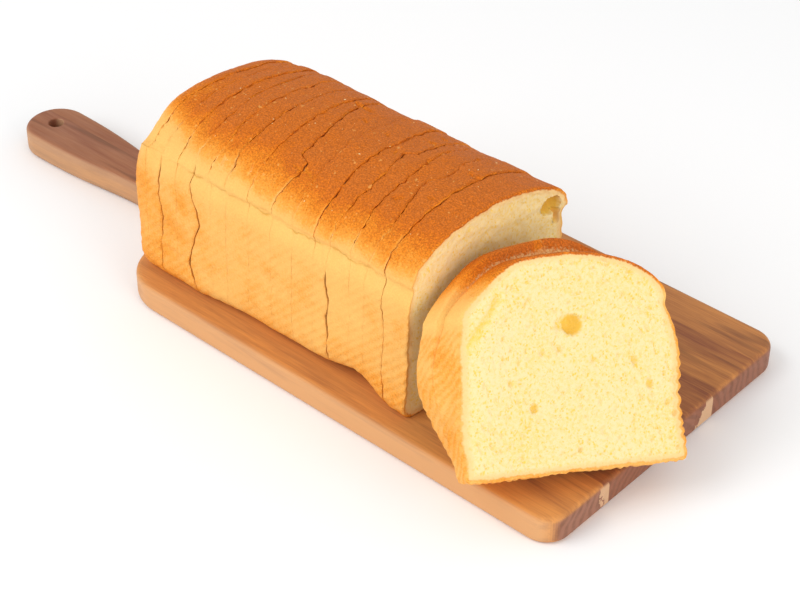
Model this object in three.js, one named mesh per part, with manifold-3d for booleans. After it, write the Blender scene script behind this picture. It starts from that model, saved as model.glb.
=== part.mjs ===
// A sliced pan loaf of brioche on a wooden paddle board, with two more slices leaning on its cut face.
// Millimetres. +X runs from the board's handle to its free end, -Y is the near long side, +Z is up.
// While the pieces are made, x = 0 is the free end, y = 0 the blade's middle and z = 0 the underside;
// the last lines move the whole group so that its origin is the middle of its footprint.
import * as THREE from "three";
import { mergeVertices } from "three/addons/utils/BufferGeometryUtils.js";
import Module from "manifold-3d";

const wasm = await Module();
wasm.setup();

const rad = THREE.MathUtils.degToRad;

// ---------------------------------------------------------------- driving dimensions
const restGap = 0.3; // air between two pieces that touch

const blade = {
  length: 285,
  width: 180,
  thickness: 15,
  edgeRound: 3, // radius of the rounded-over edges
  freeCornerRadius: 13,
  handleCornerRadius: 28,
};

const handle = {
  length: 143, // from the blade's shoulder to the end of the head
  nearMargin: 70, // from the blade's near edge to the handle's middle, which is set to the near side
  neckWidth: 22.5,
  headWidth: 35,
  shoulderRadius: 24,
  holeDiameter: 8.5,
  holeFromEnd: 16.5,
};
handle.middleY = -blade.width / 2 + handle.nearMargin;

const loaf = {
  footWidth: 101, // across the base, over its rounded corners
  footRound: 9,
  waistWidth: 98.6,
  waistHeight: 34,
  shoulderWidth: 97.4, // at the crease, where the crown rose over the pan's rim
  shoulderHeight: 72,
  crownNear: 49.5, // how far the crown reaches to the near side of the middle
  crownFar: 53, // and to the far side, where the oven made it bulge more
  crownHeight: 26, // above the crease
  crownSag: 6.5, // how much lower the crown is at the heel
  sagStartX: -220,
  nearMargin: 10.5, // from the blade's near edge to the loaf's foot
};
loaf.middleY = -blade.width / 2 + loaf.nearMargin + loaf.footWidth / 2;

// The knife's cuts from the cut face to the heel: [x at the loaf's middle, turn in degrees].
const cuts = [
  [-90, 6],
  [-108, 3],
  [-121.5, 1],
  [-133, -2],
  [-144, 2],
  [-155.5, -1],
  [-170.5, -3],
  [-186, -5],
  [-199, -2],
  [-212, 0],
  [-223.5, -1],
  [-235, -1],
  [-245, 2],
  [-255, 4],
  [-264, 5],
];

const heel = {
  endX: -279, // the pan's end wall
  edgeRound: 9, // side edges of the end wall
  crownDrop: 15, // how far the crown slopes down to the end wall
};

const leaning = {
  turn: 63.5, // from the board's long side to the slices' feet
  tilt: 38, // back from upright
  nearMargin: 24.5, // from the blade's near edge to the middle of the front slice's foot
  spread: 1.04, // a loose slice relaxes to a little wider than the loaf
  crownFar: 49, // these two come from where the crown bulged less
  footWidth: 103, // and where the dough filled the pan's corner
  footRound: 3,
  edgeFlare: 0.28, // how far the left edge spreads per millimetre of thickness
  back: { thickness: 11.5, roll: 1, slide: 4 },
  front: { thickness: 14.3, roll: 8, slide: -4 },
};

// ---------------------------------------------------------------- finishes
const finishes = {
  bread: new THREE.MeshStandardMaterial({ color: 0xefb765, roughness: 0.8, metalness: 0 }),
  crumb: new THREE.MeshStandardMaterial({ color: 0xfbe6a4, roughness: 0.9, metalness: 0 }),
  wood: new THREE.MeshStandardMaterial({ color: 0xc08a5c, roughness: 0.55, metalness: 0 }),
};

// ---------------------------------------------------------------- helpers
function solidOf(geometry) {
  const bare = geometry.clone();
  bare.deleteAttribute("normal");
  bare.deleteAttribute("uv");
  const merged = mergeVertices(bare, 1e-4);
  const vertProperties = merged.attributes.position.array;
  const triVerts = new Uint32Array(merged.index.array);
  return new wasm.Manifold(new wasm.Mesh({ numProp: 3, vertProperties, triVerts }));
}

function geometryOf(solid) {
  const mesh = solid.getMesh();
  const geometry = new THREE.BufferGeometry();
  geometry.setAttribute("position", new THREE.BufferAttribute(mesh.vertProperties, 3));
  geometry.setIndex(new THREE.BufferAttribute(mesh.triVerts, 1));
  geometry.computeVertexNormals();
  return geometry;
}

function addMesh(parent, name, geometry, material) {
  const mesh = new THREE.Mesh(geometry, material);
  mesh.name = name;
  parent.add(mesh);
  return mesh;
}

// Moves every vertex of a geometry with a function of its position.
function reshape(geometry, move) {
  const position = geometry.attributes.position;
  const point = new THREE.Vector3();
  for (let i = 0; i < position.count; i += 1) {
    point.fromBufferAttribute(position, i);
    move(point);
    position.setXYZ(i, point.x, point.y, point.z);
  }
  geometry.computeVertexNormals();
  return geometry;
}

// ---------------------------------------------------------------- board
// Seen from above: a blade with rounded corners, and a handle that swells into a round head.
function boardOutline() {
  const half = blade.width / 2;
  const left = -blade.length;
  const free = blade.freeCornerRadius;
  const back = blade.handleCornerRadius;
  const fillet = handle.shoulderRadius;
  const neckNear = handle.middleY - handle.neckWidth / 2;
  const neckFar = handle.middleY + handle.neckWidth / 2;
  const head = handle.headWidth / 2;
  const headX = left - handle.length + head;
  const neckX = left - fillet;
  const quarter = Math.PI / 2;
  const outline = new THREE.Shape();
  outline.moveTo(left + back, -half);
  outline.absarc(-free, -half + free, free, -quarter, 0, false);
  outline.absarc(-free, half - free, free, 0, quarter, false);
  outline.absarc(left + back, half - back, back, quarter, 2 * quarter, false);
  outline.lineTo(left, neckFar + fillet);
  outline.absarc(neckX, neckFar + fillet, fillet, 0, -quarter, true);
  const swell = (neckX - headX) / 2;
  outline.bezierCurveTo(
    neckX - swell, neckFar, headX + swell, handle.middleY + head, headX, handle.middleY + head,
  );
  outline.absarc(headX, handle.middleY, head, quarter, 3 * quarter, false);
  outline.bezierCurveTo(headX + swell, handle.middleY - head, neckX - swell, neckNear, neckX, neckNear);
  outline.absarc(neckX, neckNear - fillet, fillet, quarter, 0, true);
  outline.lineTo(left, -half + back);
  outline.absarc(left + back, -half + back, back, 2 * quarter, 3 * quarter, false);
  return outline;
}

function boardGeometry() {
  const plate = new THREE.ExtrudeGeometry(boardOutline(), {
    depth: blade.thickness - 2 * blade.edgeRound,
    bevelEnabled: true,
    bevelThickness: blade.edgeRound,
    bevelSize: blade.edgeRound,
    bevelOffset: -blade.edgeRound,
    bevelSegments: 3,
    curveSegments: 10,
  });
  plate.translate(0, 0, blade.edgeRound);
  const overrun = 2; // the drill passes both faces
  const drill = new THREE.CylinderGeometry(
    handle.holeDiameter / 2, handle.holeDiameter / 2, blade.thickness + 2 * overrun, 32,
  );
  drill.rotateX(Math.PI / 2);
  const holeX = -blade.length - handle.length + handle.holeFromEnd;
  drill.translate(holeX, handle.middleY, blade.thickness / 2);
  return geometryOf(solidOf(plate).subtract(solidOf(drill)));
}

// ---------------------------------------------------------------- bread
// A cross-section of the loaf: x across it, y up, with the base's middle at the origin.
// The foot and the far side of the crown differ between the standing and the loose slices.
function sectionShape({ footWidth, footRound, crownFar }) {
  const foot = footWidth / 2;
  const waist = loaf.waistWidth / 2;
  const shoulder = loaf.shoulderWidth / 2;
  const rise = loaf.shoulderHeight;
  const quarter = Math.PI / 2;
  const tuck = rad(4); // the crown's ends tuck in above the crease
  const shape = new THREE.Shape();
  shape.moveTo(-foot + footRound, 0);
  shape.lineTo(foot - footRound, 0);
  shape.absarc(foot - footRound, footRound, footRound, -quarter, 0, false);
  shape.lineTo(waist, loaf.waistHeight);
  shape.lineTo(shoulder, rise);
  shape.absellipse(0, rise, crownFar, loaf.crownHeight, tuck, quarter, false, 0);
  shape.absellipse(0, rise, loaf.crownNear, loaf.crownHeight, quarter, Math.PI - tuck, false, 0);
  shape.lineTo(-shoulder, rise);
  shape.lineTo(-waist, loaf.waistHeight);
  shape.absarc(-foot + footRound, footRound, footRound, 2 * quarter, 3 * quarter, false);
  return shape;
}

// A straight length of loaf. Its section stands in x and z, and y runs back from 0 to 1.
function sectionSlab(section) {
  const shape = sectionShape(section);
  const slab = new THREE.ExtrudeGeometry(shape, { depth: 1, bevelEnabled: false, curveSegments: 12 });
  slab.rotateX(Math.PI / 2);
  slab.translate(0, 1, 0);
  return slab;
}

// The x of a cut plane at a distance across the loaf from its middle.
function cutX(cut, across) {
  return cut[0] + across * Math.tan(rad(cut[1]));
}

// How much lower the loaf's top is at a place along it, for a point that was at the given height.
function sagAt(x, height) {
  const share = Math.max(0, height - loaf.shoulderHeight) / loaf.crownHeight;
  return loaf.crownSag * share * (1 - THREE.MathUtils.smoothstep(x, heel.endX, loaf.sagStartX));
}

// A slice of the standing loaf, between two neighbouring cuts.
function slabBetween(front, back) {
  return reshape(sectionSlab(loaf), (p) => {
    const across = p.x;
    const near = cutX(front, across) - restGap / 2;
    const far = cutX(back, across) + restGap / 2;
    const x = near + (far - near) * p.y;
    p.set(x, loaf.middleY + across, p.z - sagAt(x, p.z) + blade.thickness + restGap);
  });
}

// The end piece: sections that draw in towards the pan's end wall and slope down at the crown.
function heelGeometry(cut) {
  const steps = 7;
  const outline = sectionShape(loaf).getPoints(12);
  outline.pop(); // the last point repeats the first
  const count = outline.length;
  const vertices = [];
  for (let i = 0; i <= steps; i += 1) {
    const turn = (i / steps) * (Math.PI / 2);
    const inset = heel.edgeRound * (1 - Math.cos(turn));
    const narrow = 1 - (2 * inset) / loaf.footWidth;
    const drop = heel.crownDrop * (1 - Math.cos(turn));
    for (const point of outline) {
      const start = cutX(cut, point.x) - restGap / 2;
      const share = point.y / (loaf.shoulderHeight + loaf.crownHeight);
      const x = start + (heel.endX - start) * Math.sin(turn);
      const height = point.y - sagAt(x, point.y) - drop * share * share;
      vertices.push(x, loaf.middleY + point.x * narrow, height);
    }
  }
  const triangles = [];
  for (let i = 0; i < steps; i += 1) {
    for (let j = 0; j < count; j += 1) {
      const a = i * count + j;
      const b = i * count + ((j + 1) % count);
      triangles.push(a, b + count, b, a, a + count, b + count);
    }
  }
  const last = steps * count;
  for (const [a, b, c] of THREE.ShapeUtils.triangulateShape(outline, [])) {
    triangles.push(a, b, c);
    triangles.push(last + c, last + b, last + a);
  }
  const geometry = new THREE.BufferGeometry();
  geometry.setAttribute("position", new THREE.Float32BufferAttribute(vertices, 3));
  geometry.setIndex(triangles);
  geometry.translate(0, 0, blade.thickness + restGap);
  geometry.computeVertexNormals();
  return geometry;
}

// A leaning slice lies in its own frame: x along its foot, z up its face, and y back through it.
// This moves a point of the unit slab there.
function leanPoint(p, slice) {
  const depth = slice.startY + p.y * slice.thickness;
  const left = THREE.MathUtils.smoothstep(-p.x, -10, 50);
  p.set(p.x * leaning.spread - leaning.edgeFlare * depth * left, depth, p.z);
  return p.applyAxisAngle(new THREE.Vector3(0, 1, 0), rad(slice.roll));
}

function leaningGeometry(slice) {
  return reshape(sectionSlab(leaning), (p) => leanPoint(p, slice));
}

// Height of a slice's foot above the board at its lowest place over the board.
function footHeight(mesh, slice) {
  const samples = 200;
  const point = new THREE.Vector3();
  mesh.updateWorldMatrix(true, false);
  let lowest = Infinity;
  for (let i = 0; i <= samples; i += 1) {
    for (const side of [0, 1]) {
      leanPoint(point.set((i / samples - 0.5) * leaning.footWidth, side, 0), slice);
      point.applyMatrix4(mesh.matrixWorld);
      if (point.x < 0 && Math.abs(point.y) < blade.width / 2) lowest = Math.min(lowest, point.z);
    }
  }
  return lowest - blade.thickness;
}

// How far a mesh's nearest corner is in front of the loaf's cut face.
function clearOfFace(mesh) {
  const position = mesh.geometry.attributes.position;
  const point = new THREE.Vector3();
  mesh.updateWorldMatrix(true, false);
  let nearest = Infinity;
  for (let i = 0; i < position.count; i += 1) {
    point.fromBufferAttribute(position, i).applyMatrix4(mesh.matrixWorld);
    nearest = Math.min(nearest, point.x - cutX(cuts[0], point.y - loaf.middleY));
  }
  return nearest;
}

// ---------------------------------------------------------------- assembly
const object = new THREE.Group();

addMesh(object, "board", boardGeometry(), finishes.wood);

for (let i = 0; i + 1 < cuts.length; i += 1) {
  const name = "slice_" + String(i + 1).padStart(2, "0");
  addMesh(object, name, slabBetween(cuts[i], cuts[i + 1]), finishes.bread);
}
addMesh(object, "heel_slice", heelGeometry(cuts[cuts.length - 1]), finishes.bread);

// The two loose slices share one turned and tilted frame, so their faces stay parallel.
const pair = new THREE.Group();
pair.position.set(0, -blade.width / 2 + leaning.nearMargin, blade.thickness);
pair.rotation.set(-rad(leaning.tilt), 0, rad(leaning.turn), "ZYX");
object.add(pair);

const front = { ...leaning.front, startY: 0 };
const back = { ...leaning.back, startY: leaning.front.thickness + restGap };
const frontSlice = addMesh(pair, "leaning_slice_front", leaningGeometry(front), finishes.crumb);
const backSlice = addMesh(pair, "leaning_slice_back", leaningGeometry(back), finishes.crumb);
frontSlice.position.x = front.slide;
backSlice.position.x = back.slide;

// The pair moves along the board until the back slice leans on the loaf, and each slice slides up
// its own face until its foot rests on the board. One changes the other a little, so both repeat.
for (let pass = 0; pass < 4; pass += 1) {
  pair.position.x += restGap - clearOfFace(backSlice);
  frontSlice.position.z += (restGap - footHeight(frontSlice, front)) / Math.cos(rad(leaning.tilt));
  backSlice.position.z += (restGap - footHeight(backSlice, back)) / Math.cos(rad(leaning.tilt));
}

// The origin is the middle of the footprint, on the surface the board stands on.
object.updateMatrixWorld(true);
const box = new THREE.Box3();
object.traverse((o) => {
  if (o.isMesh) box.expandByObject(o, true);
});
object.position.set(-(box.min.x + box.max.x) / 2, -(box.min.y + box.max.y) / 2, -box.min.z);

export default object;
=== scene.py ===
import itertools
import math
from collections import namedtuple

import bmesh
import bpy
import numpy as np
from bpy.props import FloatProperty, FloatVectorProperty, IntProperty, PointerProperty
from mathutils import Matrix, Vector


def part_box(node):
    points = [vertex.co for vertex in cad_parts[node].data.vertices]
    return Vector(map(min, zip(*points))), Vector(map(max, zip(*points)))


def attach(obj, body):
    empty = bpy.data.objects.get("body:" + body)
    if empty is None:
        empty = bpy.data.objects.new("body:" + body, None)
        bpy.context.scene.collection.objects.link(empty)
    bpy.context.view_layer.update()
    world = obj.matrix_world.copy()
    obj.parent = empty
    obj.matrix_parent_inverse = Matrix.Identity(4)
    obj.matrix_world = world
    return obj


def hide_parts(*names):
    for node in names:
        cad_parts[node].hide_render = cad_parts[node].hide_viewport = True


bl_info = {
    "name": "Brioche loaf",
    "version": (1, 0, 0),
    "blender": (4, 5, 0),
    "location": "3D View > Sidebar > Brioche",
    "description": "A sliced pan loaf of brioche on a wooden paddle board, with two slices leaning on it",
    "category": "Object",
}

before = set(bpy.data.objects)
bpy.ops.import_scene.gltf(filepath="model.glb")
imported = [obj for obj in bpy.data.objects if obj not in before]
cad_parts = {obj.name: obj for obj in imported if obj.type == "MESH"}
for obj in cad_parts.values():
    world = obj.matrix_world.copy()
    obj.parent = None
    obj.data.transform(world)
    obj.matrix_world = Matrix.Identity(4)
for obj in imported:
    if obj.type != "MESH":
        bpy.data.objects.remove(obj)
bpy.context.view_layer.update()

MM = 0.001
BODY = "root"
BREAD_SLOT = "bread"
WOOD_SLOT = "board_wood"
NO_CREASE = 20.0  # mm above the crease, too far for its wrinkle to show

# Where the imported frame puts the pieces.
BOARD_LOW, BOARD_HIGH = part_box("board")
SLICE_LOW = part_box("slice_02")[0]
FACE_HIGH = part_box("slice_01")[1]
HEEL_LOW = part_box("heel_slice")[0]
REST_GAP = SLICE_LOW.z - BOARD_HIGH.z

# The knife's cuts from the cut face to the heel: how far behind the cut face each one is at the
# loaf's middle, its turn in degrees, and how far it gapes at the side and at the crown (mm).
Cut = namedtuple("Cut", "back turn side_gape crown_gape")
CUTS = (
    Cut(0.0, 6, 0.0, 0.0),
    Cut(18.0, 3, 0.85, 0.6),
    Cut(31.5, 1, 0.06, 0.42),
    Cut(43.0, -2, 0.03, 0.3),
    Cut(54.0, 2, 1.3, 0.42),
    Cut(65.5, -1, 0.03, 0.3),
    Cut(80.5, -3, 0.16, 0.2),
    Cut(96.0, -5, 0.05, 0.7),
    Cut(109.0, -2, 0.03, 0.12),
    Cut(122.0, 0, 0.06, 0.65),
    Cut(133.5, -1, 0.03, 0.1),
    Cut(145.0, -1, 1.0, 0.65),
    Cut(155.0, 2, 0.03, 0.12),
    Cut(165.0, 4, 0.95, 0.4),
    Cut(174.0, 5, 0.1, 0.25),
)

# Where a cut wanders off its plane: at the near side by height, on the crown by the distance
# across (mm, and the wander in mm towards the cut face).
SIDE_WANDER = {
    11: ((8, 0), (19, -4.5), (33, -1), (45, 3.5), (57, 0), (66, -2.5), (74, 0)),
    13: ((20, 0), (38, 1.5), (50, -1.5), (64, 1), (74, 0)),
    4: ((12, 0), (24, 0.8), (33, -0.8), (44, 0.9), (54, -0.6), (66, 0.4)),
    1: ((4, 1.5), (22, -0.5), (40, 0.8), (58, -1.2), (72, 0.5)),
}
CROWN_WANDER = {
    7: ((-47, 0), (-32, 5), (-26, 5.3), (-24, -0.5), (-5, -1.4), (21, -4.2)),
    4: ((-40, 1), (-22, 2), (-4, 0.5), (6, -3), (9, 3), (30, 1)),
    2: ((-30, 3), (-18, 1), (-5, -1.5), (2, 2.5), (20, 0.5)),
}

# Spots where the crown's skin is torn: distance back from the cut face, across, half length
# along the loaf, half width across it (all mm), turn in degrees, depth in mm.
Tear = namedtuple("Tear", "back across length width turn depth")
TEARS = (
    Tear(87.5, -29.7, 4.8, 0.9, 4, 1.1),
    Tear(101.0, 26.5, 7.5, 0.9, 14, 1.2),
    Tear(90.0, 15.6, 2.2, 0.8, -20, 0.9),
    Tear(55.0, 24.0, 3.2, 0.8, 8, 1.0),
    Tear(57.0, 35.0, 2.4, 0.8, 40, 0.9),
    Tear(20.5, 13.8, 3.4, 0.8, -6, 1.1),
    Tear(37.0, -20.6, 3.0, 0.9, -20, 1.0),
    Tear(24.0, -14.0, 1.3, 0.9, 30, 0.8),
    Tear(60.0, 3.0, 2.0, 0.7, 60, 0.8),
    Tear(44.0, 8.0, 3.6, 0.7, 70, 0.9),
    Tear(73.0, 12.0, 2.2, 0.8, 10, 0.8),
    Tear(112.0, -40.0, 2.6, 0.6, 75, 0.8),
    Tear(128.0, -43.0, 2.8, 0.6, 60, 0.8),
    Tear(32.0, 30.0, 2.6, 0.7, 80, 0.9),
)

# Clear holes in the front slice's cut face: middle across and up, half sizes and depth (mm).
FRONT_HOLES = (
    ((0.6, 66.4), (5.4, 3.6), 1.5),
    ((3.6, 65.2), (4.5, 4.6), 5.2),
    ((-17, 30), (1.9, 2.2), 2.0),
    ((36, 36), (1.5, 2.6), 1.6),
    ((30, 47), (1.4, 2.4), 1.5),
    ((-3, 55), (1.8, 1.3), 1.2),
    ((-11, 54), (1.6, 1.2), 1.0),
    ((12, 49), (1.7, 1.2), 1.0),
    ((2, 10), (1.2, 1.0), 1.4),
    ((-27, 42), (1.3, 1.7), 1.1),
    ((44, 27), (1.6, 1.2), 1.2),
    ((-29, 62), (1.2, 1.2), 0.9),
    ((47, 22), (1.2, 1.6), 1.2),
)


# ------------------------------------------------------------------------------------ settings
def length(name, description, value, low, high):
    return FloatProperty(
        name=name, description=description, default=value, min=low, max=high, unit="LENGTH")


def angle(name, description, degrees):
    return FloatProperty(
        name=name, description=description, default=math.radians(degrees), subtype="ANGLE")


def count(name, description, value, low, high):
    return IntProperty(name=name, description=description, default=value, min=low, max=high)


def colour(name, description, value):
    return FloatVectorProperty(
        name=name, description=description, default=value, size=3, min=0, max=1, subtype="COLOR")


class LoafSettings(bpy.types.PropertyGroup):
    foot_width: length(
        "Foot width", "Across the base of the loaf, over its rounded corners", 0.101, 0.05, 0.2)
    foot_round: length("Foot rounding", "Radius of the loaf's bottom corners", 0.009, 0.001, 0.03)
    waist_width: length("Waist width", "Across the loaf at its waist", 0.0986, 0.05, 0.2)
    waist_height: length("Waist height", "Height of the waist above the foot", 0.034, 0.01, 0.1)
    shoulder_width: length(
        "Shoulder width", "Across the loaf at the crease under the crown", 0.0974, 0.05, 0.2)
    shoulder_height: length("Shoulder height", "Height of the crease above the foot", 0.072, 0.02, 0.15)
    crown_near: length("Crown, near side", "How far the crown reaches to the near side", 0.0495, 0.02, 0.1)
    crown_far: length("Crown, far side", "How far the crown bulges to the far side", 0.053, 0.02, 0.1)
    crown_height: length("Crown height", "Height of the crown above the crease", 0.026, 0.005, 0.06)
    crown_sag: length("Crown sag", "How much lower the crown is at the heel", 0.0065, 0, 0.02)
    sag_length: length(
        "Sag length", "How far from the heel's end the crown starts to sag", 0.059, 0.01, 0.1)
    heel_round: length("Heel rounding", "Radius of the side edges of the heel's end", 0.009, 0.001, 0.03)
    heel_drop: length("Heel drop", "How far the crown slopes down to the heel's end", 0.015, 0, 0.04)
    ripple_pitch: length(
        "Ripple pitch", "Height between two ripples that the pan's ribbed wall left", 0.0054, 0.001, 0.02)
    crust_thickness: length(
        "Crust thickness", "Thickness of the brown skin on a cut face", 0.0013, 0.0002, 0.005)
    columns: count("Columns", "Mesh columns across a slice", 132, 8, 300)
    rows: count("Rows", "Mesh rows up a slice", 92, 8, 300)
    crumb_count: count("Loose crumbs", "Crumbs and flakes lying on the crown", 60, 0, 2000)


class LeaningSettings(bpy.types.PropertyGroup):
    turn: angle("Turn", "From the board's long side to the leaning slices' feet", 63.5)
    tilt: angle("Tilt", "How far the leaning slices tilt back from upright", 38)
    spread: FloatProperty(
        name="Spread", description="How much wider a loose slice relaxes",
        default=1.04, min=0.8, max=1.3, subtype="FACTOR")
    foot_width: length("Foot width", "Across the foot of a loose slice", 0.103, 0.05, 0.2)
    foot_round: length("Foot rounding", "Radius of a loose slice's bottom corners", 0.003, 0.001, 0.03)
    crown_far: length(
        "Crown, far side", "How far a loose slice's crown reaches to the far side", 0.049, 0.02, 0.1)
    edge_flare: FloatProperty(
        name="Edge flare", description="How far the left edge spreads for each unit of thickness",
        default=0.28, min=0, max=1, subtype="FACTOR")
    front_thickness: length("Front slice", "Thickness of the front leaning slice", 0.0143, 0.005, 0.03)
    back_thickness: length("Back slice", "Thickness of the back leaning slice", 0.0115, 0.005, 0.03)
    front_roll: angle("Front roll", "How far the front slice rolls on its foot", 8)
    back_roll: angle("Back roll", "How far the back slice rolls on its foot", 1)
    columns: count("Columns", "Mesh columns across the front slice", 196, 8, 400)
    rows: count("Rows", "Mesh rows up the front slice", 160, 8, 400)
    pores: count("Pores", "Open pores in the front slice's cut face", 900, 0, 5000)


class BreadColours(bpy.types.PropertyGroup):
    crease: colour("Crease", "Palest crust, in the crease under the crown", (0.865, 0.515, 0.145))
    # The fold colour is painted shade in the wrinkle along the crease.
    fold: colour("Fold", "Wrinkle along the crease", (0.62, 0.31, 0.04))
    side: colour("Side", "Golden crust that the pan's wall baked", (0.865, 0.455, 0.12))
    gold: colour("Gold", "Orange crust low on the sides and on the loose slices", (0.84, 0.33, 0.045))
    shoulder: colour("Shoulder", "Orange-brown crust at the crown's shoulder", (0.72, 0.215, 0.012))
    crown: colour("Crown", "Brown crust of the crown", (0.57, 0.133, 0.006))
    darkest: colour("Darkest crown", "Darkest crust, on top of the crown", (0.53, 0.133, 0.014))
    crumb: colour("Crumb", "Pale yellow crumb", (0.865, 0.685, 0.36))
    # The pore colour is painted shade: it darkens the crumb's cells, its pores and holes by their depth,
    # and the front slice's fold.
    pore: colour("Pore", "Darker yellow inside a pore", (0.86, 0.57, 0.10))


class BoardSettings(bpy.types.PropertyGroup):
    blade_length: length("Blade length", "Board without its handle", 0.285, 0.1, 1)
    edge_round: length("Edge rounding", "Radius of the rounded-over edges", 0.003, 0.0005, 0.007)
    free_corner: length("Free corners", "Radius of the two corners at the free end", 0.013, 0.001, 0.05)
    handle_corner: length(
        "Handle corners", "Radius of the two corners at the handle's end", 0.028, 0.001, 0.05)
    neck_width: length("Neck width", "Across the handle's neck", 0.0225, 0.01, 0.06)
    head_width: length("Head width", "Across the handle's round head", 0.035, 0.01, 0.08)
    shoulder_round: length(
        "Shoulder rounding", "Radius between the blade's end and the neck", 0.024, 0.005, 0.05)
    handle_margin: length(
        "Handle margin", "From the blade's near edge to the handle's middle", 0.07, 0.02, 0.15)
    hole_diameter: length("Hang hole", "Diameter of the hole to hang the board by", 0.0085, 0.002, 0.03)
    hole_from_end: length(
        "Hole from end", "From the handle's end to the middle of the hole", 0.0165, 0.005, 0.05)
    tan: colour("Tan", "Light tan wood", (0.65, 0.275, 0.075))
    brown: colour("Brown", "Brown heartwood", (0.245, 0.082, 0.040))
    dark: colour("Dark", "Dark lines in the grain", (0.15, 0.06, 0.032))
    sapwood: colour("Sapwood", "Pale pinkish sapwood", (0.74, 0.47, 0.265))
    handle_tint: colour("Handle", "Pinkish brown wood of the handle", (0.33, 0.148, 0.092))


class StageSettings(bpy.types.PropertyGroup):
    azimuth: angle("Azimuth", "Camera turn about the vertical", 41.635)
    elevation: angle("Elevation", "Camera angle above the horizontal", 37.334)
    roll: angle("Roll", "Camera roll about its own axis", 0.436)
    position: FloatVectorProperty(
        name="Position", description="Where the camera stands",
        default=(0.578562, -0.602842, 0.628164), size=3, subtype="TRANSLATION", unit="LENGTH")
    lens: FloatProperty(
        name="Focal length", description="Camera lens in millimetres", default=91.09, min=10, max=500)
    floor: colour("Floor", "Pale floor", (0.93, 0.93, 0.93))
    key_power: FloatProperty(
        name="Key light", description="Power of the large soft light",
        default=26, min=0, unit="POWER")
    fill_power: FloatProperty(
        name="Fill light", description="Power of the light from the free end",
        default=14, min=0, unit="POWER")
    sky: FloatProperty(
        name="Sky", description="Strength of the light from all round", default=0.72, min=0, max=5)


# ------------------------------------------------------------------------------------ helpers
def smoothstep(value, low, high):
    t = np.clip((value - low) / (high - low), 0, 1)
    return t * t * (3 - 2 * t)


def bell(value, middle, width):
    """A smooth hump of height 1 around a middle."""
    return np.exp(-(((value - middle) / width) ** 2))


def crowded(count, share):
    """Numbers from 0 to 1 that crowd together at both ends by the given share."""
    t = np.linspace(0, 1, count + 1)
    return t - share * np.sin(2 * np.pi * t) / (2 * np.pi)


LATTICE = 32  # cells of noise before it repeats
LATTICE_SHIFT = 500.37  # cells, so that the object lies off the lattice's origin


def noise(points, size, seed, octaves=1):
    """Smooth noise, about -1 to 1, at points (n, 3) in metres; size is that of its largest features."""
    table = np.random.default_rng(seed).uniform(-1, 1, (LATTICE,) * 3)
    total = np.zeros(len(points))
    strength = 1.0
    for _ in range(octaves):
        place = points / size + LATTICE_SHIFT
        cell = np.floor(place).astype(int)
        part = place - cell
        part = part * part * (3 - 2 * part)
        for corner in itertools.product((0, 1), repeat=3):
            index = (cell + corner) % LATTICE
            weight = np.prod(np.where(corner, part, 1 - part), axis=1)
            total += strength * weight * table[index[:, 0], index[:, 1], index[:, 2]]
        size /= 2.1
        strength *= 0.5
    return total


def arc(middle, radii, start, end, count=24):
    """Points on an ellipse, angles in degrees."""
    angle = np.radians(np.linspace(start, end, count))
    return np.stack((middle[0] + radii[0] * np.cos(angle), middle[1] + radii[1] * np.sin(angle)), 1)


def along(points, shares):
    """Points at shares of a polyline's length."""
    step = np.linalg.norm(np.diff(points, axis=0), axis=1)
    run = np.concatenate(([0], np.cumsum(step)))
    return np.stack([np.interp(shares * run[-1], run, points[:, i]) for i in range(2)], 1)


def softened(points, window=21, count=320):
    """The same polyline with its corners rounded off and its two ends kept."""
    dense = along(points, np.linspace(0, 1, count))
    half = window // 2
    before = 2 * dense[0] - dense[half:0:-1]
    after = 2 * dense[-1] - dense[-2:-half - 2:-1]
    padded = np.concatenate((before, dense, after))
    weights = np.hanning(window + 2)[1:-1]
    weights /= weights.sum()
    return np.stack([np.convolve(padded[:, i], weights, "valid") for i in range(2)], 1)


def block_surface(columns, rows, layers):
    """The surface of a block of cells: three shares for each vertex, and the quads, facing out."""
    shape = (columns + 1, rows + 1, layers + 1)
    i, j, k = np.meshgrid(*(np.arange(n) for n in shape), indexing="ij")
    outer = (i == 0) | (i == columns) | (j == 0) | (j == rows) | (k == 0) | (k == layers)
    number = np.full(shape, -1)
    number[outer] = np.arange(outer.sum())

    def sheet(grid, turned):
        corners = (grid[:-1, :-1], grid[1:, :-1], grid[1:, 1:], grid[:-1, 1:])
        quads = np.stack(corners, -1).reshape(-1, 4)
        return quads[:, ::-1] if turned else quads

    quads = np.concatenate((
        sheet(number[:, :, 0], False), sheet(number[:, :, -1], True),
        sheet(number[0], False), sheet(number[-1], True),
        sheet(number[:, 0], True), sheet(number[:, -1], False)))
    return i[outer], j[outer], k[outer], quads


def add_object(name, data):
    made = bpy.data.objects.new(name, data)
    bpy.context.scene.collection.objects.link(made)
    return made


def add_mesh(name, points, faces, material, attributes=None):
    """A new object at the origin with its place in its mesh."""
    mesh = bpy.data.meshes.new(name)
    mesh.from_pydata(points.tolist(), [], faces.tolist() if hasattr(faces, "tolist") else faces)
    for key, values in (attributes or {}).items():
        layer = mesh.attributes.new(key, "FLOAT", "POINT")
        layer.data.foreach_set("value", values.astype(np.float32))
    mesh.shade_smooth()
    mesh.set_sharp_from_angle(angle=math.radians(62))
    mesh.materials.append(material)
    mesh.update()
    return add_object(name, mesh)


def finish_piece(piece, slot, *nodes):
    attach(piece, BODY)
    if nodes:
        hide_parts(*nodes)
    return piece


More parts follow.
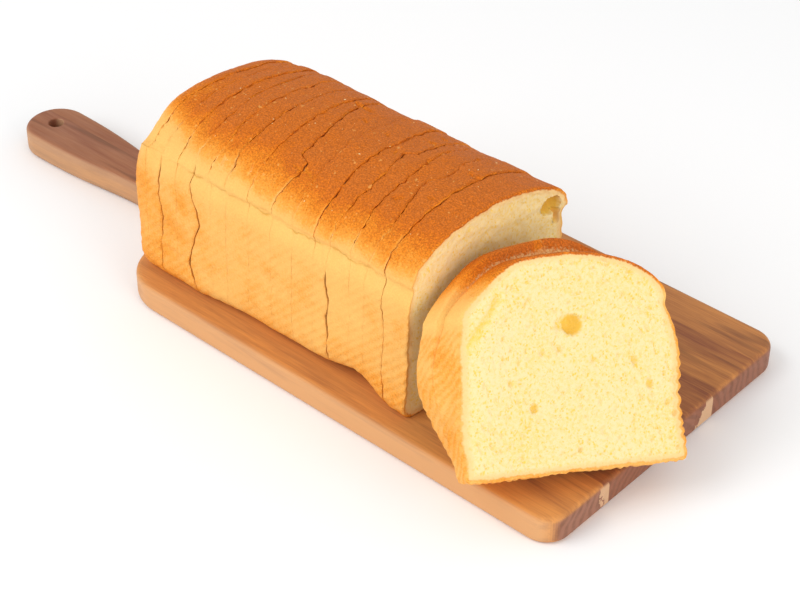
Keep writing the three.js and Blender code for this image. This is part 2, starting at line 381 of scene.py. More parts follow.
# ------------------------------------------------------------------------------------ sections
class Section:
    """A cross-section of the loaf as a grid of points: across it and up it, foot in the middle.

    Each point also has its distance in from the skin and the skin's outward normal beside it."""

    def __init__(self, loaf, columns, rows, foot_width, foot_round, crown_far):
        foot = foot_width / 2
        waist = loaf.waist_width / 2
        shoulder = loaf.shoulder_width / 2
        rise = loaf.shoulder_height
        tuck = 4  # degrees by which the crown's ends tuck in above the crease
        split = 28  # degrees of the crown that belong to the grid's two sides
        near = -foot + foot_round
        far = foot - foot_round
        crown = (0, rise)
        height = loaf.crown_height
        left = np.concatenate((
            arc((near, foot_round), (foot_round,) * 2, 225, 180, 8),
            [(-waist, loaf.waist_height), (-shoulder, rise)],
            arc(crown, (loaf.crown_near, height), 180 - tuck, 180 - split, 12)))
        right = np.concatenate((
            arc((far, foot_round), (foot_round,) * 2, -45, 0, 8),
            [(waist, loaf.waist_height), (shoulder, rise)],
            arc(crown, (crown_far, height), tuck, split, 12)))
        top = np.concatenate((
            arc(crown, (loaf.crown_near, height), 180 - split, 90, 30),
            arc(crown, (crown_far, height), 90, split, 30)[1:]))
        bottom = np.concatenate((
            arc((near, foot_round), (foot_round,) * 2, 225, 270, 8),
            arc((far, foot_round), (foot_round,) * 2, 270, 315, 8)))
        u = crowded(columns, 0.5)
        v = crowded(rows, 0.5)
        low, high = along(bottom, u)[:, None], along(top, u)[:, None]
        one, two = along(softened(left), v)[None], along(softened(right), v)[None]
        s, t = u[:, None, None], v[None, :, None]
        corners = ((1 - s) * (1 - t) * low[0] + s * (1 - t) * low[-1]
                   + (1 - s) * t * high[0] + s * t * high[-1])
        self.points = (1 - t) * low + t * high + (1 - s) * one + s * two - corners
        rim = np.concatenate((self.points[0, :-1], self.points[:-1, -1],
                              self.points[-1, :0:-1], self.points[:0:-1, 0]))
        ahead, behind = np.roll(rim, -1, 0), np.roll(rim, 1, 0)
        way = ahead - behind
        way /= np.linalg.norm(way, axis=1, keepdims=True)
        outward = np.stack((-way[:, 1], way[:, 0]), 1)
        flat = self.points.reshape(-1, 2)
        nearest = np.empty(len(flat), int)
        inset = np.empty(len(flat))
        for start in range(0, len(flat), 4000):
            part = flat[start:start + 4000]
            gap = np.linalg.norm(part[:, None] - rim[None], axis=2)
            nearest[start:start + 4000] = gap.argmin(1)
            inset[start:start + 4000] = gap.min(1)
        self.inset = inset.reshape(self.points.shape[:2])
        self.outward = outward[nearest].reshape(self.points.shape)


# ------------------------------------------------------------------------------------ bread
def loaf_middle(loaf):
    return SLICE_LOW.y + loaf.foot_width / 2


def cut_face_x(loaf):
    """Where the first cut crosses the loaf's middle."""
    return FACE_HIGH.x - loaf.crown_far * math.tan(math.radians(CUTS[0].turn)) + REST_GAP / 2


def cut_plane(loaf, number, across):
    """x of a cut's plane at distances across from the loaf's middle."""
    cut = CUTS[number]
    return cut_face_x(loaf) - cut.back * MM + across * math.tan(math.radians(cut.turn))


def cut_wander(number, across, height):
    """How far a cut leaves its plane, towards the cut face."""
    place = np.stack((np.full_like(across, number * 0.31), across, height), 1)
    total = 0.7 * MM * noise(place, 14 * MM, 11 + number, 2)
    rough = 0.25 + 0.4 * smoothstep(height, 70 * MM, 84 * MM)
    total += rough * MM * noise(place, 3.2 * MM, 61 + number, 3)
    if number in SIDE_WANDER:
        heights, moves = np.array(SIDE_WANDER[number]).T * MM
        near = smoothstep(-across, 20 * MM, 38 * MM) * (1 - smoothstep(height, 70 * MM, 80 * MM))
        total += np.interp(height, heights, moves) * near
    if number in CROWN_WANDER:
        places, moves = np.array(CROWN_WANDER[number]).T * MM
        total += np.interp(across, places, moves) * smoothstep(height, 66 * MM, 84 * MM)
    return total


def cut_gape(number, across, height):
    """How wide a cut is open: most of it is shut, and it parts a little at the skin."""
    cut = CUTS[number]
    place = np.stack((np.full_like(across, number * 0.17), across, height), 1)
    uneven = np.clip(0.6 + 0.8 * noise(place, 11 * MM, 31 + number, 2), 0.02, 1.6)
    top = smoothstep(height, 68 * MM, 82 * MM)
    foot = smoothstep(height, 0, 12 * MM)
    crown = cut.crown_gape * (0.4 + 0.6 * smoothstep(height, 80 * MM, 91 * MM))
    return (0.05 + uneven * (top * crown + (1 - top) * cut.side_gape * (0.35 + 0.65 * foot))) * MM


def cut_surface(loaf, number, across, height, side):
    """x of one side of a cut, 1 for the side towards the heel, and how wide the cut gapes."""
    gape = cut_gape(number, across, height)
    middle = cut_plane(loaf, number, across) + cut_wander(number, across, height)
    return middle - side * gape / 2, gape


def crease_height(loaf, x):
    """Height of the crease under the crown, which wanders along the loaf."""
    place = np.stack((x, np.zeros_like(x), np.zeros_like(x)), 1)
    return loaf.shoulder_height + 1.5 * MM * noise(place, 30 * MM, 5)


def loaf_bend(loaf, x, across, height):
    """The loaf's own unevenness: sagging crown, round near shoulder, rounded or lifted foot."""
    end = HEEL_LOW.x
    share = np.clip(height - loaf.shoulder_height, 0, None) / loaf.crown_height
    rear = 1 - smoothstep(x, end, end + loaf.sag_length)
    height = height - loaf.crown_sag * share * rear
    # The near shoulder is round, more so towards the heel.
    shoulder = loaf.shoulder_height
    droop = (1.0 * MM + 4.2 * MM * rear) * smoothstep(-across, 20 * MM, 50 * MM)
    droop = droop * smoothstep(height, shoulder - 2 * MM, shoulder + 11 * MM)
    height = height - droop
    across = across + 0.9 * droop
    # The near foot is tucked under along the middle of the loaf and crisp at the cut face.
    face = cut_face_x(loaf)
    back = face - x
    tuck = 2.0 * MM * smoothstep(back, 20 * MM, 34 * MM) * (1 - smoothstep(back, 104 * MM, 150 * MM))
    tuck += 3.2 * MM * bell(back, 40 * MM, 12 * MM) - 1.7 * MM * bell(back, 6 * MM, 14 * MM)
    corner = np.hypot(across + loaf.foot_width / 2, height)
    pull = tuck * np.exp(-((corner / (11 * MM)) ** 2))
    return across + pull, height + pull * np.clip(1 - height / (20 * MM), 0, 1)


def skin_relief(loaf, x, across, height):
    """How far the crust stands proud of the plain section."""
    place = np.stack((x, across, height), 1)
    back = cut_face_x(loaf) - x
    crown = smoothstep(height, 74 * MM, 86 * MM)
    crease = crease_height(loaf, x)
    edge = smoothstep(np.abs(across), 36 * MM, 44 * MM)
    relief = (0.5 + 0.3 * crown) * MM * noise(place, 26 * MM, 7, 2)
    relief += 0.16 * MM * noise(place, 4 * MM, 9, 2)
    deep = 1.0 + 0.5 * noise(place * (1, 0, 0), 17 * MM, 6)
    # The foot's edge is rough where it stuck to the pan.
    foot = 1 - smoothstep(height, 1 * MM, 7 * MM)
    relief += (0.5 * noise(place, 7 * MM, 28, 2) + 0.3 * noise(place, 2 * MM, 29)) * MM * foot
    # Slanting wrinkles in the near side by the heel.
    heel = smoothstep(back, 138 * MM, 160 * MM) * (1 - smoothstep(height, 40 * MM, 58 * MM)) * edge
    slant = noise(np.stack((x * 0.35 - height * 0.5, across * 0.2, height + x * 0.35), 1), 5 * MM, 30, 2)
    relief += 0.5 * MM * slant * heel
    valley = 0.3 * bell(height, crease, 1.8 * MM) + 1.9 * bell(height, crease, 5.5 * MM)
    relief -= valley * deep * MM * edge
    relief += 0.6 * MM * bell(height, crease + 9 * MM, 6 * MM) * edge
    # Small folds run down from the crease.
    folds = noise(place * (1, 1, 0.35), 5 * MM, 8, 2) * bell(height, crease - 1 * MM, 6 * MM) * edge
    relief += 0.85 * MM * folds
    side = (1 - smoothstep(height, 60 * MM, 70 * MM)) * smoothstep(height, 3 * MM, 12 * MM) * edge
    phase = (height - 0.95 * x) / loaf.ripple_pitch + 0.35 * noise(place, 22 * MM, 13)
    depth = 0.13 + 0.12 * (1 - smoothstep(back, 10 * MM, 60 * MM))
    depth = depth + 0.1 * noise(place, 18 * MM, 15)
    relief += depth * MM * np.sin(2 * np.pi * phase) * side
    return relief - torn(back, across, height, place) * MM


def torn(back, across, height, place):
    """How deep the torn spots on the crown are, in mm."""
    deep = np.zeros_like(back)
    ragged = 0.45 * noise(place, 1.6 * MM, 27, 2)
    for tear in TEARS:
        c, s = math.cos(math.radians(tear.turn)), math.sin(math.radians(tear.turn))
        one, two = back - tear.back * MM, across - tear.across * MM
        a = (one * c + two * s) / (tear.length * 1.1 * MM)
        b = (-one * s + two * c) / (tear.width * 1.5 * MM)
        b = b + 0.5 * np.sin(2.6 * a + tear.back)
        spread = smoothstep(np.hypot(a, b) + ragged, 0.35, 1.15)
        deep = np.maximum(deep, 1.35 * tear.depth * (1 - spread))
    return deep * smoothstep(height, 66 * MM, 76 * MM)


def bake_of(loaf, x, across, height):
    """How brown the crust is: 0 in the crease, 0.3 on the sides, 1 on top of the crown."""
    place = np.stack((x, across, height), 1)
    back = cut_face_x(loaf) - x
    rise = (height - loaf.shoulder_height) / loaf.crown_height
    rise = rise + 0.07 * noise(place, 20 * MM, 21, 2)
    far = smoothstep(across, -10 * MM, 30 * MM)
    crown = 0.2 + 0.78 * smoothstep(rise, -0.08 - 0.15 * far, 1.0 - 0.15 * far) ** 0.85
    crown = crown - 0.07 * smoothstep(-across, 20 * MM, 44 * MM)
    pale = smoothstep(back, 70 * MM, 175 * MM) * (1 - far) * (1 - smoothstep(rise, 0.35, 0.95))
    crown = crown - 0.19 * pale
    side = 0.30 + 0.09 * noise(place, 24 * MM, 23, 3)
    side += 0.09 * (1 - smoothstep(height, 0, 18 * MM)) + 0.13 * (1 - smoothstep(height, 0, 4 * MM))
    side += 0.14 * smoothstep(back, 122 * MM, 180 * MM)
    side += 0.033 * np.sin(2 * np.pi * (height - 0.95 * x) / loaf.ripple_pitch) * (height < 60 * MM)
    side -= 0.08 * smoothstep(height, 56 * MM, 70 * MM)
    side -= 0.16 * bell(height, loaf.shoulder_height - 2 * MM, 9 * MM)
    deep = torn(back, across, height, place)
    crown = crown - 0.5 * deep * (1 - 0.55 * deep)
    return side + (crown - side) * smoothstep(rise, -0.04, 0.22)


def slab_points(section, layers, end_crowding):
    """A slice's vertices as section points and shares of its thickness, and its quads."""
    columns, rows = section.inset.shape[0] - 1, section.inset.shape[1] - 1
    i, j, k, quads = block_surface(columns, rows, layers)
    share = crowded(layers, end_crowding)[k]
    across, height = section.points[i, j].T
    return i, j, k, across, height, share, quads


def heel_shape(loaf, front, across, height, share):
    """The heel behind the last cut: x, across drawn in to its round end, and the crown's slope."""
    turn = share * np.pi / 2
    end = HEEL_LOW.x - 6.5 * MM * bell(height, 46 * MM, 34 * MM) * bell(across, 0, 60 * MM)
    x = front + (end - front) * np.sin(turn)
    top = smoothstep(height, 44 * MM, 92 * MM)
    draw_in = loaf.heel_round * (1 + 1.1 * top) * (1 - np.cos(turn))
    narrow = 1 - 2 * draw_in / loaf.foot_width
    tall = height / (loaf.shoulder_height + loaf.crown_height)
    near = smoothstep(-across, 5 * MM, 45 * MM)
    lift = -(loaf.heel_drop + 7 * MM * near) * (1 - np.cos(turn)) * tall ** 2
    return x, across * narrow, lift


def soften_edges(relief, number, place, edge, gape, height):
    """Rounds the skin beside a cut, unevenly, and tears it a little on the crown."""
    first = number == 0
    parted = 1.0 if first else np.clip(gape / (0.3 * MM), 0.12, 1.3)
    soft = (0.34 + 0.22 * noise(place, 5 * MM, 71 + number, 2)) * MM * parted
    relief = relief - soft * np.exp(-((edge / (0.5 * MM)) ** 2))
    torn_rim = np.clip(noise(place, 1.7 * MM, 75 + number, 2) + 0.1, 0, 1)
    torn_rim = torn_rim * (0.25 if first else 1.0)
    upper = smoothstep(height, 74 * MM, 84 * MM)
    return relief - 0.75 * MM * torn_rim * np.exp(-((edge / (0.8 * MM)) ** 2)) * upper


def standing_slice(loaf, section, number, material):
    """The slice between two cuts, or the heel behind the last one."""
    heel = number == len(CUTS) - 1
    first = number == 0
    layers = 26 if heel or first else 18
    i, j, k, across, height, share, quads = slab_points(section, layers, 0.7)
    inset = section.inset[i, j]
    outward = section.outward[i, j]
    front, gape = cut_surface(loaf, number, across, height, 1)
    if heel:
        x, across_now, lift = heel_shape(loaf, front, across, height, share)
        skin = np.where(k == layers, 0.0, inset)
        edge = front - x
    else:
        rear, rear_gape = cut_surface(loaf, number + 1, across, height, -1)
        x = front + (rear - front) * share
        gape = np.where(front - x < x - rear, gape, rear_gape)
        across_now, lift = across, 0.0
        skin = inset
        edge = np.minimum(front - x, x - rear)
    across_now, height_now = loaf_bend(loaf, x, across_now, height)
    # How far above the crease a point is, for the wrinkle drawn along it.
    along_loaf = np.stack((x, np.zeros_like(x), np.zeros_like(x)), 1)
    crease = height_now - crease_height(loaf, x) - 1.3 * MM * noise(along_loaf, 8 * MM, 33, 2)
    place = np.stack((x, across, height), 1)
    relief = skin_relief(loaf, x, across_now, height_now)
    relief = soften_edges(relief, number, place, edge, gape, height)
    # Each slice's crown stands a little prouder or lower than the next one's.
    proud = np.random.default_rng(400 + number).uniform(-0.5, 0.5)
    relief += proud * MM * smoothstep(height, 60 * MM, 84 * MM)
    fade = np.exp(-((inset / (3 * MM)) ** 2))
    across_now = across_now + outward[:, 0] * relief * fade
    height_now = np.maximum(height_now + outward[:, 1] * relief * fade + lift, 0)
    # The crumb's grain in the two cut faces, and the first face's pores.
    caps = (k == 0) | ((k == layers) & (not heel))
    inside = smoothstep(inset, 0.6 * MM, 3 * MM)
    grain = 0.25 * noise(place, 3.2 * MM, 81, 2) + 0.1 * noise(place, 1.3 * MM, 83)
    pore = face_pores(k == 0, across, height) if first else np.zeros_like(x)
    sign = np.where(k == 0, 1.0, -1.0)
    room = 1.0 if first else 0.25
    x = x + caps * sign * inside * (np.minimum(grain, 0) * room * 0.5 * MM)
    x = x - pore
    if heel:
        x = x + 0.25 * MM * noise(place, 6 * MM, 85, 2) * (k == layers)
    bake = bake_of(loaf, x, across_now, height_now)
    # Beside a cut the skin is paler, and ragged where it tore: partly scuffed crust, partly a painted
    # highlight along the cut edges and a painted glow of bounced light inside the narrow slits.
    upper = smoothstep(height, 74 * MM, 84 * MM)
    scuff_and_highlight = np.exp(-((edge / (0.55 * MM)) ** 2)) * (0.55 + 0.6 * noise(place, 6 * MM, 91 + number, 2))
    opened = min(1, max(CUTS[number].crown_gape, 0.3) / 0.5)
    bake = bake - 0.34 * np.clip(scuff_and_highlight, 0, 1) * upper * opened
    if heel:
        bake = np.where(k == layers, 0.42 + 0.1 * noise(place, 20 * MM, 87, 2), bake)
    points = np.stack((x, loaf_middle(loaf) + across_now, SLICE_LOW.z + height_now), 1)
    name = "heel_slice" if heel else f"slice_{number + 1:02d}"
    values = {"bake": bake, "inset": skin, "pore": np.abs(pore) / MM, "crease": crease / MM}
    piece = add_mesh(name + "_baked", points, quads, material, values)
    return finish_piece(piece, BREAD_SLOT, name)


def carve(depth, flat, middle, radii, turn, deep):
    """Adds a rounded hollow to a depth field over flat points."""
    local = flat - np.array(middle)
    c, s = math.cos(turn), math.sin(turn)
    a = (local[:, 0] * c + local[:, 1] * s) / radii[0]
    b = (-local[:, 0] * s + local[:, 1] * c) / radii[1]
    r = a * a + b * b
    hollow = deep * np.sqrt(np.clip(1 - r, 0, None))
    np.maximum(depth, hollow, out=depth)


def face_pores(face, across, height):
    """The first slice's cut face: fine pores and the deep hole under the far side of the crown."""
    depth = np.zeros_like(across)
    flat = np.stack((across, height), 1)
    scatter_pores(depth, flat, face, 520, 909)
    hole = np.zeros_like(across)
    carve(hole, flat, (39.6 * MM, 79.3 * MM), (6.4 * MM, 4.6 * MM), -0.12, 11 * MM)
    carve(hole, flat, (44.0 * MM, 71.8 * MM), (2.6 * MM, 4.4 * MM), 0.15, 5 * MM)
    depth = np.maximum(depth, hole)
    return depth * face


def scatter_pores(depth, flat, face, count, seed, middle=(0, 45 * MM)):
    """Small pores drawn out along rings round the middle of the crumb, as the dough was rolled."""
    rng = np.random.default_rng(seed)
    index = np.flatnonzero(face)
    points = flat[index]
    low, high = points.min(0) + 3 * MM, points.max(0) - 3 * MM
    field = np.zeros(len(points))
    for _ in range(count):
        spot = rng.uniform(low, high)
        size = MM * (0.32 + 0.5 * rng.random() ** 3.5)
        ring = math.atan2(spot[1] - middle[1], spot[0] - middle[0]) + math.pi / 2
        turn = ring + rng.uniform(-0.5, 0.5)
        stretch = rng.uniform(1.1, 2.3)
        carve(field, points, spot, (size * stretch, size), turn, size * 0.8)
    depth[index] = np.maximum(depth[index], field)


def lean_points(leaning, x, depth, height, roll):
    """Points of a leaning slice in the pair's turned and tilted frame, as (n, 3)."""
    left = smoothstep(-x, -10 * MM, 50 * MM)
    left = left * (0.3 + 0.7 * smoothstep(height, 0, 40 * MM))
    x = x * leaning.spread - leaning.edge_flare * depth * left
    c, s = math.cos(roll), math.sin(roll)
    return np.stack((x * c + height * s, depth, -x * s + height * c), 1)


def lean_turn(leaning):
    turn = Matrix.Rotation(leaning.turn, 3, "Z") @ Matrix.Rotation(-leaning.tilt, 3, "X")
    return np.array(turn)


def leaning_relief(loaf, place, across, height, depth, thickness, phase):
    """How far a loose slice's crust stands proud: lumps, crease, pan ripples and rounded edges."""
    relief = (0.45 * noise(place, 24 * MM, 101, 2) + 0.14 * noise(place, 3.5 * MM, 103, 2)) * MM
    edge = smoothstep(np.abs(across), 36 * MM, 44 * MM)
    right = smoothstep(across, 20 * MM, 40 * MM)
    relief -= 1.7 * MM * bell(height, loaf.shoulder_height - 2 * MM, 4.4 * MM) * right
    side = smoothstep(height, 2 * MM, 9 * MM) * (1 - smoothstep(height, 56 * MM, 66 * MM)) * edge
    uneven = np.clip(0.75 + 0.8 * noise(place, 15 * MM, 106), 0.1, 1.4)
    ripple = (0.42 * (1 - smoothstep(height, 28 * MM, 52 * MM)) + 0.5 * right) * uneven
    relief += ripple * MM * np.sin(2 * np.pi * phase) * side
    foot = 1 - smoothstep(height, 0, 3 * MM)
    relief += 0.8 * MM * noise(place * (1, 0.3, 1), 1.6 * MM, 107) * foot
    rim = np.minimum(depth, thickness - depth)
    relief -= (0.5 + 0.2 * noise(place, 4 * MM, 109)) * MM * np.exp(-((rim / (0.8 * MM)) ** 2))
    return relief


def relaxed(x, up, across, height, behind):
    """A loose slice relaxes: its near shoulder rounds off, and its sides belly out."""
    near = smoothstep(-across, 12 * MM, 50 * MM)
    x = x + 5.8 * MM * bell(height, 86 * MM, 21 * MM) * near
    up = up - 3.6 * MM * bell(height, 90 * MM, 20 * MM) * smoothstep(-across, 15 * MM, 45 * MM)
    belly = 5.6 * smoothstep(behind, 0, 15 * MM) - 1.4
    x = x - belly * MM * bell(height, 47 * MM, 20 * MM) * near
    x = x + 2.6 * MM * (1 - smoothstep(height, 0, 26 * MM)) * near
    x = x + 3.0 * MM * bell(height, 50 * MM, 17 * MM) * smoothstep(across, 22 * MM, 50 * MM)
    return x, up


def front_face(leaning, across, height, inset, face):
    """The front slice's cut face: how deep its pores are, with the fold near the shoulder added as painted
    shade, and how far it rolls back to the left.

    The third value is False in and beside the fold near the shoulder, where no pore is hollowed."""
    flat = np.stack((across, height), 1)
    pore = np.zeros_like(across)
    scatter_pores(pore, flat, face, leaning.pores, 211, (4 * MM, 40 * MM))
    open_face = pore[face]
    for middle, radii, deep in FRONT_HOLES:
        carve(open_face, flat[face], np.array(middle) * MM, np.array(radii) * MM, 0.3, deep * MM)
    pore[face] = open_face
    rolled = 2.8 * MM * smoothstep(-across, 32 * MM, 53 * MM) ** 2
    rolled += 1.7 * MM * np.exp(-((inset / (2.4 * MM)) ** 2)) * smoothstep(-across, 5 * MM, 40 * MM)
    high, low = np.array((-32, 81)) * MM, np.array((-46, 58)) * MM
    way = low - high
    reach = np.clip(((flat - high) @ way) / (way @ way), 0, 1)
    off = np.linalg.norm(flat - high - reach[:, None] * way, axis=1)
    fold = bell(off, 0, 2.4 * MM)
    # Along the fold the pore depth is raised for its colour alone, as painted shade: no pore is hollowed
    # there.
    pore = np.maximum(pore, 1.3 * MM * fold * face * smoothstep(inset, 2 * MM, 5 * MM))
    return pore, rolled + 1.3 * MM * fold, off > 4 * MM


def leaning_bake(loaf, place, across, height, phase):
    """How brown a loose slice's crust is: as the loaf's, with an even golden side."""
    back = np.full_like(across, cut_face_x(loaf) - 60 * MM)
    bake = bake_of(loaf, back, across * 0.98, height)
    crown = smoothstep(height, 66 * MM, 78 * MM)
    side_tone = 0.37 + 0.04 * noise(place, 12 * MM, 115, 2) + 0.06 * np.sin(2 * np.pi * phase)
    bake = bake + (side_tone - bake) * (1 - crown)
    return bake - 0.3 * smoothstep(-across, 8 * MM, 44 * MM) * crown


def leaning_slice(loaf, leaning, which, material):
    front = which == "front"
    if front:
        columns, rows, layers = leaning.columns, leaning.rows, 26
        start, thickness, roll = 0.0, leaning.front_thickness, leaning.front_roll
    else:
        columns, rows, layers = int(leaning.columns * 0.7), int(leaning.rows * 0.7), 22
        start = leaning.front_thickness + REST_GAP
        thickness, roll = leaning.back_thickness, leaning.back_roll
    section = Section(loaf, columns, rows, leaning.foot_width, leaning.foot_round, leaning.crown_far)
    i, j, k, across, height, share, quads = slab_points(section, layers, 0.6)
    inset = section.inset[i, j]
    outward = section.outward[i, j]
    node = "leaning_slice_" + which
    turn = lean_turn(leaning)
    # The plain slice in place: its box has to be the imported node's box.
    plain = lean_points(leaning, across, start + share * thickness, height, roll) @ turn.T
    shift = np.array(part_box(node)[0]) - plain.min(0)
    depth = share * thickness
    place = np.stack((across, depth + (0 if front else 0.05), height), 1)
    phase = (height - 0.9 * depth * np.sign(across)) / loaf.ripple_pitch
    phase = phase + 0.55 * noise(place, 14 * MM, 105, 2)
    relief = leaning_relief(loaf, place, across, height, depth, thickness, phase)
    fade = np.exp(-((inset / (4 * MM)) ** 2))
    x = across + outward[:, 0] * relief * fade
    up = height + outward[:, 1] * relief * fade
    x, up = relaxed(x, up, across, height, start + share * thickness)
    face = k == 0
    inside = smoothstep(inset, 0.6 * MM, 3 * MM)
    pore = np.zeros_like(x)
    hollow = 0.0
    skin = inset
    if front:
        pore, rolled, clear = front_face(leaning, across, height, inset, face)
        depth = depth + rolled * (1 - share)
        hollow = pore * inside * clear
    else:
        # The back slice stands a little higher and slumps at the far side of its crown.
        slump = smoothstep(across, 10 * MM, 46 * MM) * smoothstep(height, 55 * MM, 96 * MM)
        raised = smoothstep(across, -45 * MM, -12 * MM) * (1 - smoothstep(across, 8 * MM, 34 * MM))
        up = up + (0.7 * raised * smoothstep(height, 45 * MM, 94 * MM) - 5.0 * slump) * MM
        x = x - 4.5 * MM * slump
        # It shows only its rim, where the crust colour reaches further in over the crumb: painted shade
        # from the front slice.
        rim = np.maximum(smoothstep(height, 62 * MM, 82 * MM), smoothstep(-across, 26 * MM, 42 * MM))
        skin = inset * (1 - 0.78 * rim)
    grain = 0.2 * noise(place, 4.5 * MM, 111, 2) + 0.12 * noise(place, 1.4 * MM, 113)
    sign = np.where(face, 1.0, -1.0)
    caps = face | (k == layers)
    depth = depth + caps * inside * sign * 0.3 * MM * np.abs(grain) + hollow
    points = lean_points(leaning, x, start + depth, up, roll) @ turn.T + shift
    values = {"bake": leaning_bake(loaf, place, across, height, phase), "inset": skin,
              "pore": pore / MM, "crease": np.full_like(x, NO_CREASE)}
    piece = add_mesh(node + "_baked", points, quads, material, values)
    return finish_piece(piece, BREAD_SLOT, node)


# ------------------------------------------------------------------------------------ board
def board_outline(board):
    """The board seen from above, counter-clockwise, its points about a millimetre apart."""
    half = (BOARD_HIGH.y - BOARD_LOW.y) / 2
    middle = (BOARD_HIGH.y + BOARD_LOW.y) / 2
    free_end = BOARD_HIGH.x
    left = free_end - board.blade_length
    axis = middle - half + board.handle_margin
    free, back, fillet = board.free_corner, board.handle_corner, board.shoulder_round
    neck, head = board.neck_width / 2, board.head_width / 2
    head_x, neck_x = BOARD_LOW.x + head, left - fillet
    swell = (neck_x - head_x) / 2
    low, high = middle - half, middle + half

    def bezier(*p):
        t = np.linspace(0, 1, 40)[:, None]
        p = np.array(p)
        return ((1 - t) ** 3 * p[0] + 3 * t * (1 - t) ** 2 * p[1]
                + 3 * t * t * (1 - t) * p[2] + t ** 3 * p[3])

    runs = (
        arc((free_end - free, low + free), (free,) * 2, -90, 0),
        arc((free_end - free, high - free), (free,) * 2, 0, 90),
        arc((left + back, high - back), (back,) * 2, 90, 180),
        arc((neck_x, axis + neck + fillet), (fillet,) * 2, 0, -90),
        bezier((neck_x, axis + neck), (neck_x - swell, axis + neck),
               (head_x + swell, axis + head), (head_x, axis + head)),
        arc((head_x, axis), (head,) * 2, 90, 270, 40),
        bezier((head_x, axis - head), (head_x + swell, axis - head),
               (neck_x - swell, axis - neck), (neck_x, axis - neck)),
        arc((neck_x, axis - neck - fillet), (fillet,) * 2, 90, 0),
        arc((left + back, low + back), (back,) * 2, 180, 270),
        [(free_end - free, low)],
    )
    line = np.concatenate(runs)
    keep = np.linalg.norm(np.diff(line, axis=0, prepend=line[:1] - 1), axis=1) > 1e-7
    return along(line[keep], np.linspace(0, 1, 1000, endpoint=False))


def board_mesh(board, material):
    """The board: rings round its rolled edges, flat faces, and the hang hole with eased rims."""
    outline = board_outline(board)
    way = np.roll(outline, -1, 0) - np.roll(outline, 1, 0)
    way /= np.linalg.norm(way, axis=1, keepdims=True)
    inward = np.stack((-way[:, 1], way[:, 0]), 1)
    top = BOARD_HIGH.z
    r = board.edge_round
    angles = np.radians(np.linspace(0, 90, 9))
    profile = [(r * (1 - math.sin(a)), r * (1 - math.cos(a))) for a in angles]
    profile += [(r * (1 - math.sin(a)), top - r * (1 - math.cos(a))) for a in angles[::-1]]
    hole_middle = np.array((BOARD_LOW.x + board.hole_from_end,
                            BOARD_LOW.y + board.handle_margin))
    ease = 0.8 * MM
    hole = [(ease * (1 - math.sin(a)), ease * (1 - math.cos(a))) for a in angles[::2]]
    hole += [(ease * (1 - math.sin(a)), top - ease * (1 - math.cos(a))) for a in angles[::-2]]
    bm = bmesh.new()

    def rings(path, make):
        loops = []
        for inset, z in path:
            loops.append([bm.verts.new((x, y, z)) for x, y in make(inset)])
        for low, high in zip(loops, loops[1:]):
            for n in range(len(low)):
                m = (n + 1) % len(low)
                bm.faces.new((low[n], low[m], high[m], high[n]))
        return loops[0], loops[-1]

    def hole_ring(inset):
        radius = board.hole_diameter / 2 + inset
        angle = -np.linspace(0, 2 * np.pi, 64, endpoint=False)
        return hole_middle + radius * np.stack((np.cos(angle), np.sin(angle)), 1)

    outer = rings(profile, lambda inset: outline + inward * inset)
    inner = rings(hole, hole_ring)
    for side in (0, 1):
        edges = []
        for loop in (outer[side], inner[side]):
            edges += [bm.edges.get((a, b)) for a, b in zip(loop, loop[1:] + loop[:1])]
        bmesh.ops.triangle_fill(bm, use_beauty=True, use_dissolve=False, edges=edges)
    bmesh.ops.recalc_face_normals(bm, faces=bm.faces)
    mesh = bpy.data.meshes.new("board_wood")
    bm.to_mesh(mesh)
    bm.free()
    mesh.shade_smooth()
    mesh.set_sharp_from_angle(angle=math.radians(50))
    mesh.materials.append(material)
    return finish_piece(add_object("board_oiled", mesh), WOOD_SLOT, "board")


# ------------------------------------------------------------------------------------ materials
def add_node(tree, kind, inputs=None, **values):
    """A new node with its settings, and its inputs set or linked."""
    node = tree.nodes.new(kind)
    for key, value in values.items():
        setattr(node, key, value)
    for key, value in (inputs or {}).items():
        if isinstance(value, bpy.types.NodeSocket):
            tree.links.new(value, node.inputs[key])
        else:
            node.inputs[key].default_value = value
    return node


